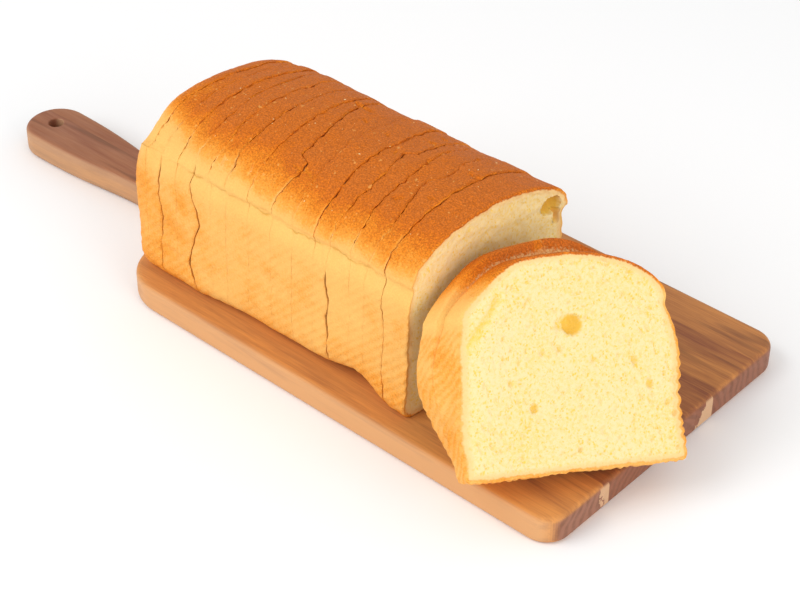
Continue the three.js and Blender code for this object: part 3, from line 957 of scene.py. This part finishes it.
class Nodes:
    """A material's node tree, built from the left to the right."""

    def __init__(self, name):
        self.material = bpy.data.materials.new(name)
        self.material.use_nodes = True
        self.tree = self.material.node_tree
        self.tree.nodes.clear()
        self.shader = self.add("ShaderNodeBsdfPrincipled")
        out = self.add("ShaderNodeOutputMaterial")
        self.link(self.shader.outputs[0], out.inputs[0])

    def add(self, kind, inputs=None, **values):
        return add_node(self.tree, kind, inputs, **values)

    def link(self, source, target):
        self.tree.links.new(source, target)

    def place(self, scale=(1, 1, 1), turn=(0, 0, 0)):
        """Object coordinates in metres, stretched and turned."""
        coordinates = self.add("ShaderNodeTexCoord")
        inputs = {"Vector": coordinates.outputs["Object"], "Scale": scale, "Rotation": turn}
        return self.add("ShaderNodeMapping", inputs).outputs[0]

    def noise(self, scale, detail=3, vector=None, rough=0.55, distortion=0.0):
        inputs = {"Scale": scale, "Detail": detail, "Roughness": rough, "Distortion": distortion,
                  "Vector": vector or self.place()}
        return self.add("ShaderNodeTexNoise", inputs).outputs["Fac"]

    def number(self, name):
        return self.add("ShaderNodeAttribute", attribute_name=name).outputs["Fac"]

    def math(self, operation, a, b=0.0):
        return self.add("ShaderNodeMath", {0: a, 1: b}, operation=operation).outputs[0]

    def span(self, value, low, high, to_low=0.0, to_high=1.0, smooth=False):
        inputs = {"Value": value, "From Min": low, "From Max": high, "To Min": to_low, "To Max": to_high}
        kind = "SMOOTHSTEP" if smooth else "LINEAR"
        return self.add("ShaderNodeMapRange", inputs, interpolation_type=kind).outputs[0]

    def ramp(self, value, stops, interpolation="LINEAR"):
        node = self.add("ShaderNodeValToRGB", {"Fac": value})
        node.color_ramp.interpolation = interpolation
        elements = node.color_ramp.elements
        while len(elements) < len(stops):
            elements.new(0.5)
        for element, (place, tint) in zip(elements, stops):
            element.position = place
            element.color = (*tint, 1)
        return node.outputs["Color"]

    def mix(self, share, one, two, blend="MIX"):
        node = self.add("ShaderNodeMix", data_type="RGBA", blend_type=blend)
        for socket, value in zip((node.inputs[0], node.inputs[6], node.inputs[7]), (share, one, two)):
            if isinstance(value, bpy.types.NodeSocket):
                self.link(value, socket)
            else:
                socket.default_value = value if isinstance(value, (int, float)) else (*value, 1)
        return node.outputs[2]

    def bump(self, height, distance, strength):
        inputs = {"Height": height, "Distance": distance, "Strength": strength}
        return self.add("ShaderNodeBump", inputs).outputs[0]


def crust_nodes(n, colours, mottled, speck):
    """The crust's colour by its browning, and how much of it is the wrinkle along the crease, whose dark
    line is painted shade.
    """
    bake = n.math("ADD", n.number("bake"), n.span(mottled, 0.3, 0.7, -0.07, 0.07))
    bake = n.math("ADD", bake, n.math("MULTIPLY", n.span(speck, 0.3, 0.7, -0.13, 0.13),
                                      n.span(bake, 0.2, 0.7, 0.35, 1.0)))
    crust = n.ramp(bake, (
        (0.0, colours.crease), (0.28, colours.side), (0.46, colours.gold), (0.64, colours.shoulder),
        (0.85, colours.crown), (1.0, colours.darkest)))
    # The skin is grainy: a speckle of lighter and darker grains, strongest on the crown. The light grains,
    # whitened towards blue, are painted glints on the glaze.
    grains = n.ramp(n.noise(1300, 2, rough=0.6), (
        (0.30, (0.62, 0.60, 0.58)), (0.52, (1.05, 1.06, 1.06)), (0.72, (1.5, 1.55, 1.7))))
    crust = n.mix(n.span(bake, 0.3, 0.75, 0.15, 0.8), crust, grains, "MULTIPLY")
    # Pale flecks where the skin blistered or lost its glaze.
    flecks = n.span(n.noise(420, 2, rough=0.4), 0.69, 0.74)
    crust = n.mix(n.math("MULTIPLY", flecks, 0.45), crust, colours.side)
    # A fine broken wrinkle along the crease, darkened with painted shade in its groove.
    wobble = n.span(n.noise(150, 3), 0.3, 0.7, -1.0, 1.0)
    off = n.math("ABSOLUTE", n.math("ADD", n.number("crease"), wobble))
    wrinkle = n.math("MULTIPLY", n.span(off, 0.8, 0.1, 0.0, 1.0, smooth=True),
                     n.span(n.noise(75, 2), 0.4, 0.6, 0.0, 0.85))
    return n.mix(n.math("MULTIPLY", wrinkle, 0.7), crust, colours.fold), wrinkle


def crumb_nodes(n, colours):
    """The crumb's colour, its round cells, and the noise that makes it grainy."""
    cloud = n.noise(38, 3)
    grain = n.noise(620, 4, rough=0.75, distortion=0.6)
    # The cells are a little drawn out and shifted about, and some areas hardly show any.
    drift = n.add("ShaderNodeTexNoise", {"Vector": n.place(), "Scale": 150.0}).outputs["Color"]
    drift = n.add("ShaderNodeVectorMath", {0: drift, "Scale": 4 * MM}, operation="SCALE").outputs[0]
    stretched = n.place((1, 0.8, 0.55), (0.4, 0.2, 0.3))
    warp = n.add("ShaderNodeVectorMath", {0: stretched, 1: drift}, operation="ADD").outputs[0]
    spots = n.add("ShaderNodeTexVoronoi", {"Vector": warp, "Scale": 760.0}).outputs["Distance"]
    chosen = n.span(n.noise(240, 2), 0.38, 0.6, 0.3, 1.0)
    cells = n.math("MULTIPLY", n.span(spots, 0.42, 0.12, 0.0, 1.0, smooth=True), chosen)
    # The cells, sunk in by the bump, take the darker pore colour: painted shade in them.
    yellow = n.math("MULTIPLY", cells, 0.95)
    yellow = n.math("ADD", yellow, n.span(grain, 0.3, 0.7, -0.42, 0.72))
    yellow = n.math("ADD", yellow, n.span(cloud, 0.3, 0.7, -0.12, 0.12))
    # Deeper pores and holes take more of the pore colour: painted shade by depth.
    yellow = n.math("ADD", yellow, n.span(n.number("pore"), 0.0, 2.6, 0.0, 1.0))
    return n.mix(n.span(yellow, 0.0, 1.0), colours.crumb, colours.pore), cells, grain


def bread_material(name, colours, loaf):
    """Crust by its browning and crumb inside it, parted by the distance in from the skin."""
    n = Nodes(name)
    mottled = n.noise(85, 4)
    speck = n.noise(900, 3, rough=0.75)
    crust, wrinkle = crust_nodes(n, colours, mottled, speck)
    crumb, cells, grain = crumb_nodes(n, colours)
    ragged = n.span(n.noise(900, 2), 0.3, 0.7, -0.35 * MM, 0.35 * MM)
    inset = n.math("ADD", n.number("inset"), ragged)
    skin = loaf.crust_thickness
    inner = n.span(inset, skin * 0.55, skin * 1.25, smooth=True)
    under = n.span(inset, skin, skin * 4.0, smooth=True)
    tinted = n.mix(under, n.mix(0.5, colours.side, colours.crumb), crumb)
    n.link(n.mix(inner, crust, tinted), n.shader.inputs["Base Color"])
    n.link(n.span(inner, 0, 1, 0.62, 0.9), n.shader.inputs["Roughness"])
    n.shader.inputs["Specular IOR Level"].default_value = 0.13
    skin_height = n.math("ADD", n.math("MULTIPLY", speck, 1.1), n.math("MULTIPLY", mottled, 0.6))
    skin_height = n.math("SUBTRACT", skin_height, n.math("MULTIPLY", wrinkle, 1.2))
    crumb_height = n.math("SUBTRACT", n.math("MULTIPLY", grain, 0.5), n.math("MULTIPLY", cells, 0.45))
    both = n.add("ShaderNodeMix", {0: inner, 2: skin_height, 3: crumb_height}, data_type="FLOAT")
    n.link(n.bump(both.outputs[0], 0.55 * MM, 0.55), n.shader.inputs["Normal"])
    return n.material


def end_grain(n, board, across, z, tone, streak):
    """End grain: darker, with the growth rings as arcs and two wedges of sapwood."""
    ring_place = n.place((0.25, 1, 1.6), (0.5, 0, 0))
    rings = n.add("ShaderNodeTexWave", {"Vector": ring_place, "Scale": 62.0, "Distortion": 9.0,
                                        "Detail": 2.0, "Detail Scale": 0.6}, wave_type="RINGS")
    ring = n.span(rings.outputs["Fac"], 0.1, 0.9, 0.0, 0.45, smooth=True)
    ring = n.math("MULTIPLY", ring, n.span(streak, 0.3, 0.7, 0.5, 1.3))
    end = n.mix(ring, n.mix(n.span(tone, 0.1, 1.0), board.handle_tint, board.brown), board.dark)
    sap = 0.0
    for start, stop, lean in ((0.205, 0.232, 1.2), (0.625, 0.68, -3.6)):
        slanted = n.math("ADD", across, n.math("MULTIPLY", z, lean))
        slanted = n.math("ADD", slanted, n.span(streak, 0.3, 0.7, -0.02, 0.02))
        inside = n.math("MULTIPLY", n.math("GREATER_THAN", slanted, start + lean * 7 * MM),
                        n.math("LESS_THAN", across, stop))
        sap = n.math("ADD", inside, sap)
    return n.mix(n.math("MULTIPLY", sap, 0.7), end, board.sapwood)


def wood_material(board):
    """Oiled hardwood: staves glued side by side along the board, and end grain on its two ends."""
    n = Nodes("oiled_acacia")
    place = n.add("ShaderNodeTexCoord").outputs["Object"]
    x, y, z = n.add("ShaderNodeSeparateXYZ", {0: place}).outputs
    across = n.span(y, BOARD_LOW.y, BOARD_HIGH.y)
    # Each stave's tone, from the near edge to the far one: share of the width, then 0 tan to 1 brown.
    staves = ((0.0, 0.2), (0.21, 0.66), (0.42, 0.55), (0.6, 0.76), (0.71, 0.54), (0.87, 0.46))
    tone = n.ramp(across, [(start, (shade,) * 3) for start, shade in staves], "CONSTANT")
    # The grain runs along the board; every stave shows another part of it.
    shifted = n.add("ShaderNodeCombineXYZ", {
        "X": n.math("MULTIPLY", x, 4.0),
        "Y": n.math("ADD", n.math("MULTIPLY", y, 52.0), n.math("MULTIPLY", tone, 31.0)),
        "Z": n.math("MULTIPLY", z, 40.0)}).outputs[0]
    figure = n.noise(1.0, 5, shifted, rough=0.6, distortion=0.9)
    streak = n.noise(5.0, 4, shifted, rough=0.65, distortion=0.2)
    pores = n.noise(60.0, 2, n.place((0.06, 1, 1)), rough=0.6)
    fine = n.noise(1400.0, 2, n.place((0.03, 1, 1)), rough=0.6)
    shade = n.math("ADD", tone, n.span(figure, 0.3, 0.7, -0.3, 0.34))
    shade = n.math("ADD", shade, n.span(streak, 0.3, 0.7, -0.22, 0.24))
    shade = n.math("ADD", shade, n.span(pores, 0.3, 0.7, -0.12, 0.14))
    # The edge of the first stave, on the near side, is lighter.
    shade = n.math("ADD", shade, n.span(y, BOARD_LOW.y, BOARD_LOW.y + 3.5 * MM, -0.22, 0.0))
    shade = n.math("ADD", shade, n.span(fine, 0.35, 0.65, -0.1, 0.1))
    wood = n.ramp(shade, ((0.0, board.tan), (1.0, board.brown)))
    handle = n.span(x, BOARD_LOW.x + 0.12, BOARD_LOW.x + 0.15, 0.72, 0.0, smooth=True)
    handle = n.math("MULTIPLY", handle, n.span(z, 8 * MM, 12.5 * MM, 0.25, 1.0, smooth=True))
    tint = n.mix(n.span(streak, 0.35, 0.65), board.handle_tint, board.brown)
    wood = n.mix(handle, wood, n.mix(0.35, tint, board.handle_tint))
    dark = n.span(n.noise(3.2, 2, shifted, rough=0.4, distortion=0.4), 0.57, 0.7, 0.0, 0.6)
    dark = n.math("MULTIPLY", dark, n.span(tone, 0.2, 0.5))
    wood = n.mix(dark, wood, board.dark)
    end = end_grain(n, board, across, z, tone, streak)
    normal = n.add("ShaderNodeNewGeometry").outputs["True Normal"]
    facing = n.add("ShaderNodeSeparateXYZ", {0: normal}).outputs
    at_side = n.span(n.math("MULTIPLY", facing[1], -1.0), 0.5, 0.9, 0.0, 0.4)
    wood = n.mix(at_side, wood, board.sapwood)
    at_end = n.math("MULTIPLY", n.span(facing[0], 0.72, 0.92), n.span(x, 0.1, 0.11))
    wood = n.mix(at_end, wood, end)
    n.link(wood, n.shader.inputs["Base Color"])
    n.shader.inputs["Specular IOR Level"].default_value = 0.2
    n.link(n.span(streak, 0.3, 0.7, 0.42, 0.58), n.shader.inputs["Roughness"])
    height = n.math("ADD", fine, n.math("MULTIPLY", streak, 0.5))
    n.link(n.bump(height, 0.12 * MM, 0.35), n.shader.inputs["Normal"])
    return n.material


def plain_material(name, tint, rough):
    n = Nodes(name)
    n.shader.inputs["Base Color"].default_value = (*tint, 1)
    n.shader.inputs["Roughness"].default_value = rough
    return n.material


# ------------------------------------------------------------------------------------ crumbs
def crumb_tree(finish):
    """Geometry nodes: small uneven crumbs scattered over a surface and sunk a little into it."""
    tree = bpy.data.node_groups.new("loose_crumbs", "GeometryNodeTree")
    face = tree.interface
    face.new_socket("Geometry", in_out="INPUT", socket_type="NodeSocketGeometry")
    sockets = {}
    for name, kind in (("Count", "NodeSocketInt"), ("Smallest", "NodeSocketFloat"),
                       ("Largest", "NodeSocketFloat"), ("Seed", "NodeSocketInt")):
        sockets[name] = face.new_socket(name, in_out="INPUT", socket_type=kind).identifier
    face.new_socket("Geometry", in_out="OUTPUT", socket_type="NodeSocketGeometry")

    def add(kind, inputs=None, **values):
        return add_node(tree, kind, inputs, **values)

    given = add("NodeGroupInput").outputs
    area = add("GeometryNodeAttributeStatistic", {
        "Geometry": given["Geometry"], "Attribute": add("GeometryNodeInputMeshFaceArea").outputs[0],
    }, domain="FACE").outputs["Sum"]
    density = add("ShaderNodeMath", {0: given["Count"], 1: area}, operation="DIVIDE").outputs[0]
    points = add("GeometryNodeDistributePointsOnFaces", {
        "Mesh": given["Geometry"], "Density": density, "Seed": given["Seed"]})
    ball = add("GeometryNodeMeshIcoSphere", {"Radius": 1.0, "Subdivisions": 2})
    lumps = add("ShaderNodeTexNoise", {"Scale": 1.3, "Detail": 2.0})
    offset = add("ShaderNodeVectorMath", {0: lumps.outputs["Color"], 1: (0.5, 0.5, 0.5)},
                 operation="SUBTRACT").outputs[0]
    crumb = add("GeometryNodeSetPosition", {"Geometry": ball.outputs[0], "Offset": offset})
    size = add("FunctionNodeRandomValue", {
        "Min": (0.6, 0.6, 0.35), "Max": (1.6, 1.0, 0.7), "Seed": given["Seed"]},
        data_type="FLOAT_VECTOR").outputs[0]
    grade = add("FunctionNodeRandomValue", {
        2: given["Smallest"], 3: given["Largest"], "Seed": 5}, data_type="FLOAT").outputs[1]
    scale = add("ShaderNodeVectorMath", {0: size, "Scale": grade}, operation="SCALE").outputs[0]
    spin = add("FunctionNodeRandomValue", {"Max": (0.0, 0.0, 6.28), "Seed": 9},
               data_type="FLOAT_VECTOR").outputs[0]
    turned = add("FunctionNodeRotateEuler", {
        "Rotation": points.outputs["Rotation"], "Rotate By": spin}, space="LOCAL").outputs[0]
    placed = add("GeometryNodeInstanceOnPoints", {
        "Points": points.outputs["Points"], "Instance": crumb.outputs[0],
        "Rotation": turned, "Scale": scale})
    real = add("GeometryNodeRealizeInstances", {0: placed.outputs[0]})
    smooth = add("GeometryNodeSetShadeSmooth", {0: real.outputs[0]})
    done = add("GeometryNodeSetMaterial", {0: smooth.outputs[0], "Material": finish})
    tree.links.new(done.outputs[0], add("NodeGroupOutput").inputs[0])
    return tree, sockets


def crown_cover(loaf):
    """The top of the standing slices as one open mesh, for the crumbs to lie on."""
    bm = bmesh.new()
    lowest = SLICE_LOW.z + loaf.shoulder_height + 0.25 * loaf.crown_height
    for name in [f"slice_{n + 1:02d}_baked" for n in range(len(CUTS) - 1)]:
        bm.from_mesh(bpy.data.objects[name].data)
    bm.normal_update()
    hidden = [f for f in bm.faces if f.calc_center_median().z < lowest or f.normal.z < 0.35]
    bmesh.ops.delete(bm, geom=hidden, context="FACES")
    mesh = bpy.data.meshes.new("crown_cover")
    bm.to_mesh(mesh)
    bm.free()
    return add_object("crown_cover", mesh)


def scatter_crumbs(loaf, colours):
    cover = crown_cover(loaf)
    tree, sockets = crumb_tree(crumb_flake_material(colours))
    modifier = cover.modifiers.new("crumbs", "NODES")
    modifier.node_group = tree
    for name, value in (("Count", loaf.crumb_count), ("Smallest", 0.12 * MM),
                        ("Largest", 0.42 * MM), ("Seed", 17)):
        modifier[sockets[name]] = value
    depsgraph = bpy.context.evaluated_depsgraph_get()
    mesh = bpy.data.meshes.new_from_object(cover.evaluated_get(depsgraph))
    mesh.name = "loose_crumbs"
    piece = add_object("loose_crumbs", mesh)
    cover.modifiers.remove(modifier)
    bpy.data.objects.remove(cover)
    return finish_piece(piece, BREAD_SLOT)


def crumb_flake_material(colours):
    n = Nodes("crumb_flakes")
    tint = n.mix(n.span(n.noise(300, 2), 0.35, 0.65), colours.crumb, colours.side)
    n.link(tint, n.shader.inputs["Base Color"])
    n.shader.inputs["Roughness"].default_value = 0.8
    return n.material


# ------------------------------------------------------------------------------------ operators
def bread_finish(name):
    scene = bpy.context.scene
    found = bpy.data.materials.get(name)
    return found or bread_material(name, scene.brioche_colours, scene.brioche_loaf)


class BRIOCHE_OT_board(bpy.types.Operator):
    """Make the paddle board with its rolled edges and hang hole"""

    bl_idname = "brioche.board"
    bl_label = "Board"

    def execute(self, context):
        board = context.scene.brioche_board
        board_mesh(board, wood_material(board))
        return {"FINISHED"}


class BRIOCHE_OT_standing_slices(bpy.types.Operator):
    """Make the slices that still stand together, and the heel behind them"""

    bl_idname = "brioche.standing_slices"
    bl_label = "Standing slices"

    def execute(self, context):
        loaf = context.scene.brioche_loaf
        share = 1
        section = Section(loaf, loaf.columns // share, loaf.rows // share, loaf.foot_width,
                          loaf.foot_round, loaf.crown_far)
        for number in range(len(CUTS)):
            standing_slice(loaf, section, number, bread_finish("baked_brioche"))
        return {"FINISHED"}


class BRIOCHE_OT_leaning_slices(bpy.types.Operator):
    """Make the two loose slices that lean on the cut face"""

    bl_idname = "brioche.leaning_slices"
    bl_label = "Leaning slices"

    def execute(self, context):
        scene = context.scene
        for which in ("front", "back"):
            leaning_slice(scene.brioche_loaf, scene.brioche_leaning, which, bread_finish("baked_brioche"))
        return {"FINISHED"}


class BRIOCHE_OT_crumbs(bpy.types.Operator):
    """Scatter loose crumbs and flakes over the crown"""

    bl_idname = "brioche.crumbs"
    bl_label = "Loose crumbs"

    def execute(self, context):
        scatter_crumbs(context.scene.brioche_loaf, context.scene.brioche_colours)
        return {"FINISHED"}


class BRIOCHE_OT_stage(bpy.types.Operator):
    """Make the pale floor, the soft lights and the camera"""

    bl_idname = "brioche.stage"
    bl_label = "Stage"

    def execute(self, context):
        scene = context.scene
        stage = scene.brioche_stage
        half = 6.0
        corners = np.array([(-half, -half, 0), (half, -half, 0), (half, half, 0), (-half, half, 0)])
        floor = add_mesh("floor", corners, [(0, 1, 2, 3)], plain_material("pale_floor", stage.floor, 0.9))
        a, e, r = stage.azimuth, stage.elevation, stage.roll
        back = Vector((math.sin(a) * math.cos(e), -math.cos(a) * math.cos(e), math.sin(e)))
        right = Vector((math.cos(a), math.sin(a), 0))
        up = back.cross(right)
        turned = (math.cos(r) * right + math.sin(r) * up, -math.sin(r) * right + math.cos(r) * up, back)
        camera = bpy.data.objects.new("camera", bpy.data.cameras.new("camera"))
        camera.data.lens = stage.lens
        camera.data.sensor_width = 36
        camera.data.clip_end = 20
        camera.matrix_world = Matrix.Translation(stage.position) @ Matrix(turned).transposed().to_4x4()
        scene.collection.objects.link(camera)
        scene.camera = camera
        for name, place, power, side in (
            ("key_light", (-0.75, -1.5, 1.55), stage.key_power, 1.5),
            ("fill_light", (1.85, -0.25, 0.7), stage.fill_power, 1.2),
        ):
            lamp = bpy.data.lights.new(name, "AREA")
            lamp.energy = power
            lamp.size = side
            light = bpy.data.objects.new(name, lamp)
            light.location = place
            light.rotation_euler = (-Vector(place)).to_track_quat("-Z", "Y").to_euler()
            scene.collection.objects.link(light)
        world = bpy.data.worlds.new("studio")
        world.use_nodes = True
        sky = world.node_tree.nodes["Background"]
        sky.inputs["Color"].default_value = (1, 1, 1, 1)
        sky.inputs["Strength"].default_value = stage.sky
        scene.world = world
        scene.view_settings.view_transform = "Standard"
        return {"FINISHED"}


class BRIOCHE_PT_panel(bpy.types.Panel):
    """The steps of the loaf, in order"""

    bl_idname = "BRIOCHE_PT_panel"
    bl_label = "Brioche loaf"
    bl_space_type = "VIEW_3D"
    bl_region_type = "UI"
    bl_category = "Brioche"

    def draw(self, context):
        for operator in OPERATORS:
            self.layout.operator(operator.bl_idname)


SETTINGS = {
    "brioche_loaf": LoafSettings,
    "brioche_leaning": LeaningSettings,
    "brioche_colours": BreadColours,
    "brioche_board": BoardSettings,
    "brioche_stage": StageSettings,
}
OPERATORS = (
    BRIOCHE_OT_board,
    BRIOCHE_OT_standing_slices,
    BRIOCHE_OT_leaning_slices,
    BRIOCHE_OT_crumbs,
    BRIOCHE_OT_stage,
)


def register():
    for cls in (*SETTINGS.values(), *OPERATORS, BRIOCHE_PT_panel):
        bpy.utils.register_class(cls)
    for name, cls in SETTINGS.items():
        setattr(bpy.types.Scene, name, PointerProperty(type=cls))


def unregister():
    for name in SETTINGS:
        delattr(bpy.types.Scene, name)
    for cls in (*SETTINGS.values(), *OPERATORS, BRIOCHE_PT_panel):
        bpy.utils.unregister_class(cls)


def main():
    register()
    bpy.ops.brioche.board()
    bpy.ops.brioche.standing_slices()
    bpy.ops.brioche.leaning_slices()
    bpy.ops.brioche.crumbs()
    bpy.ops.brioche.stage()


if __name__ == "__main__":
    main()
